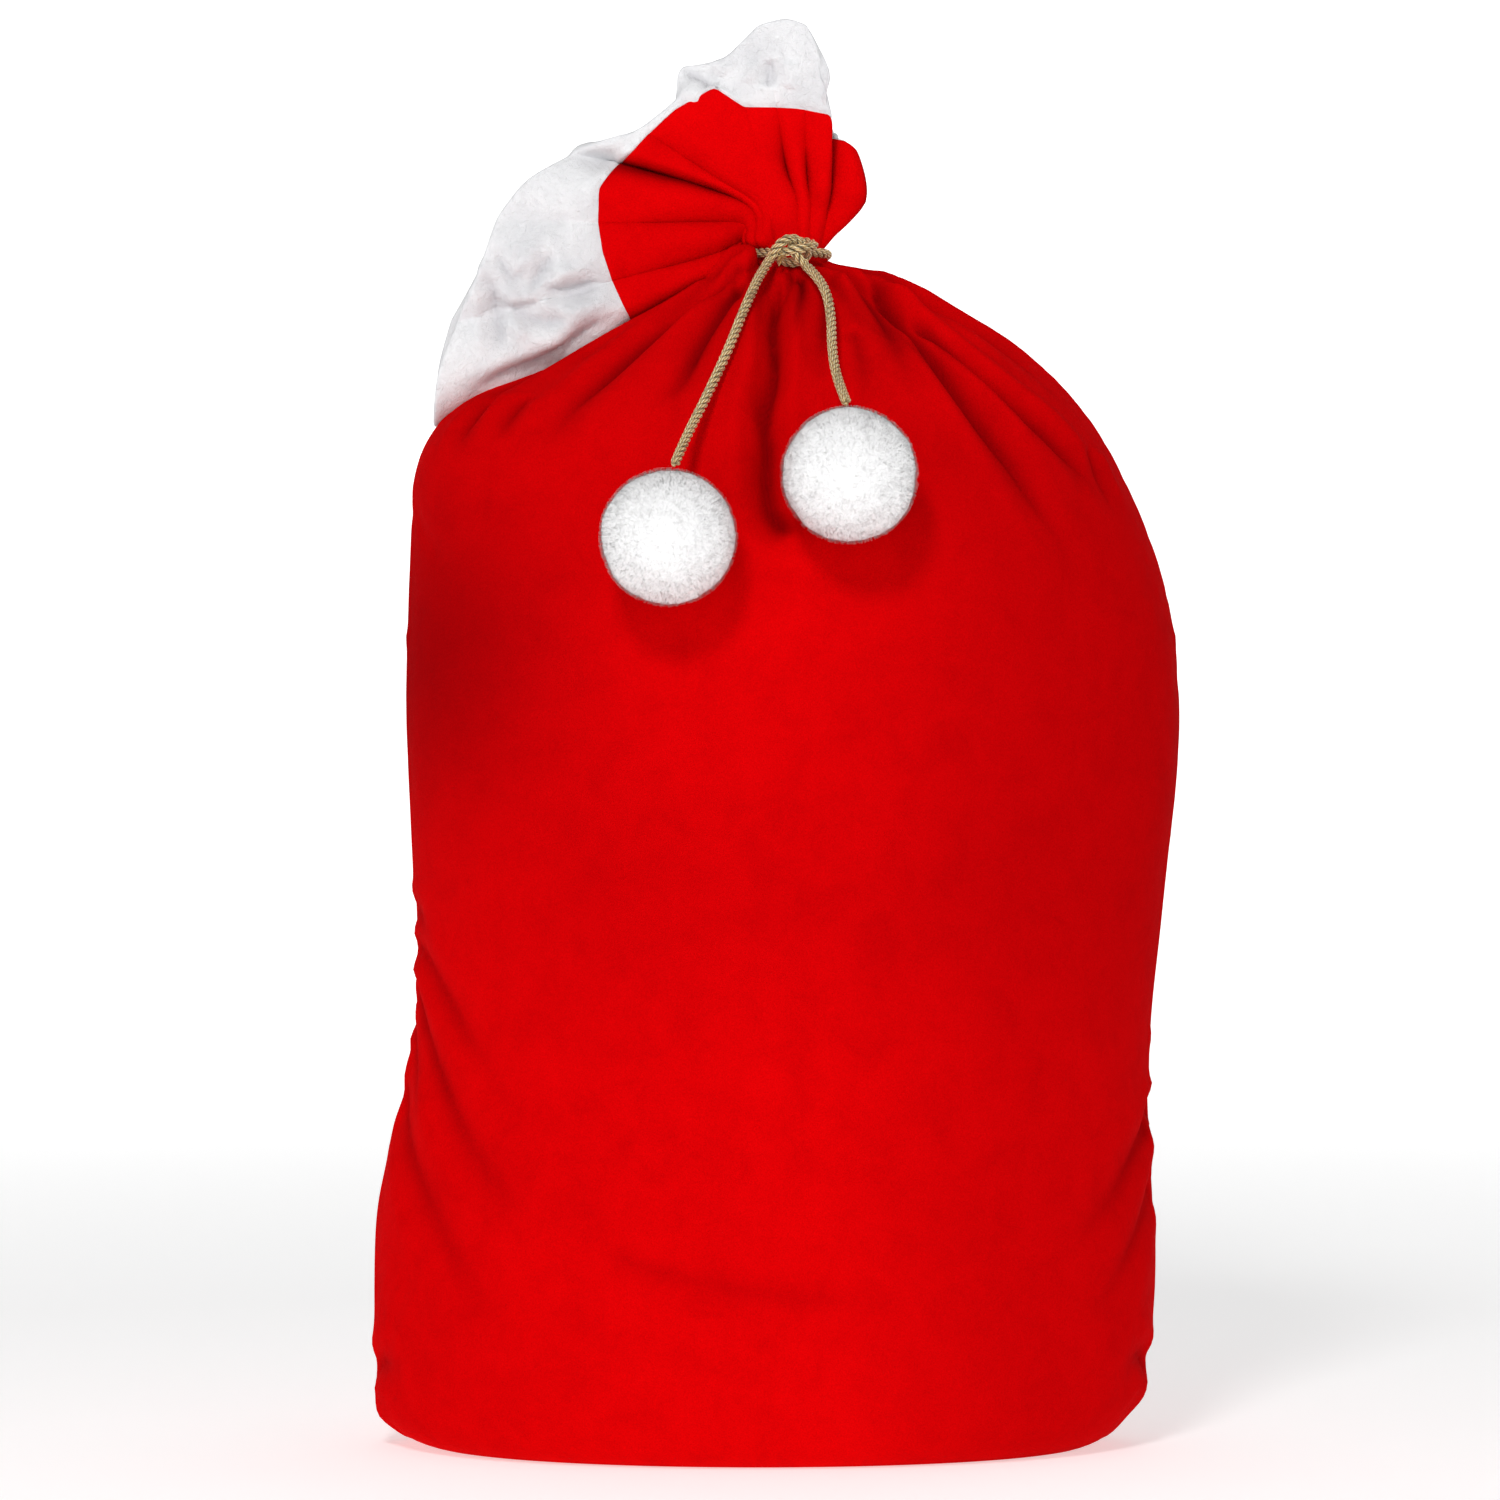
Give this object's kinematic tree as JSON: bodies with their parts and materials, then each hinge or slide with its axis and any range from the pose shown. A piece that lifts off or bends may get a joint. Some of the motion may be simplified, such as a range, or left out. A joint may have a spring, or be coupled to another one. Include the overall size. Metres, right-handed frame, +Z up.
{
  "type": "fabric gift sack",
  "caption": "Stuffed velvet drawstring gift sack, neck tied with a twisted cord that ends in pom-poms; a plush-cuffed mouth flops to one side above the tie.",
  "frame": {"origin": "on the floor, at the middle of the standing sack's box, without the cord tails and pom-poms", "axes": "+Z up, -Y the front where the cord is knotted, +X to the right seen from the front"},
  "size_m": [0.4823, 0.3746, 0.8527],
  "materials": {
    "velvet": "short red velvet pile",
    "seam_thread": "red overlocked thread",
    "stuffing": "loose polyester fibre",
    "plush": "white short plush",
    "gold_cord": "twisted gold rayon with a metallic glint",
    "tack_thread": "red sewing thread",
    "pompom_pile": "fluffy white pile",
    "tie_thread": "white binding thread"
  },
  "bodies": {
    "sack": {"front_panel": "velvet", "back_panel": "velvet", "bottom_seam": "seam_thread", "left_side_seam": "seam_thread", "right_side_seam": "seam_thread", "filling": "stuffing", "neck_cord": "gold_cord", "cord_knot": "gold_cord", "cord_tack": "tack_thread"},
    "mouth": {"ruff_front": "velvet", "ruff_back": "velvet", "cuff_front": "plush", "cuff_back": "plush", "mouth_left_seam": "seam_thread", "mouth_right_seam": "seam_thread"},
    "left_tail": {"left_tail_cord": "gold_cord"},
    "left_pompom": {"left_pompom": "pompom_pile", "left_pompom_tie": "tie_thread"},
    "right_tail": {"right_tail_cord": "gold_cord"},
    "right_pompom": {"right_pompom": "pompom_pile", "right_pompom_tie": "tie_thread"}
  },
  "joints": [
    {"name": "mouth_tilt", "type": "hinge", "parent": "sack", "child": "mouth", "pos_m": [0.008, 0, 0.72], "axis": [0, 1, 0], "range_deg": [0, 40]},
    {"name": "left_tail_lift", "type": "hinge", "parent": "sack", "child": "left_tail", "pos_m": [-0.003, -0.042, 0.708], "axis": [-1, 0, 0], "range_deg": [0, 60]},
    {"name": "left_pompom_swing", "type": "hinge", "parent": "left_tail", "child": "left_pompom", "pos_m": [-0.058, -0.173, 0.58], "axis": [0, 1, 0], "range_deg": [-10, 35]},
    {"name": "right_tail_lift", "type": "hinge", "parent": "sack", "child": "right_tail", "pos_m": [0.018, -0.044, 0.704], "axis": [-1, 0, 0], "range_deg": [0, 60]},
    {"name": "right_pompom_swing", "type": "hinge", "parent": "right_tail", "child": "right_pompom", "pos_m": [0.04, -0.171, 0.6155], "axis": [0, -1, 0], "range_deg": [-10, 35]}
  ]
}
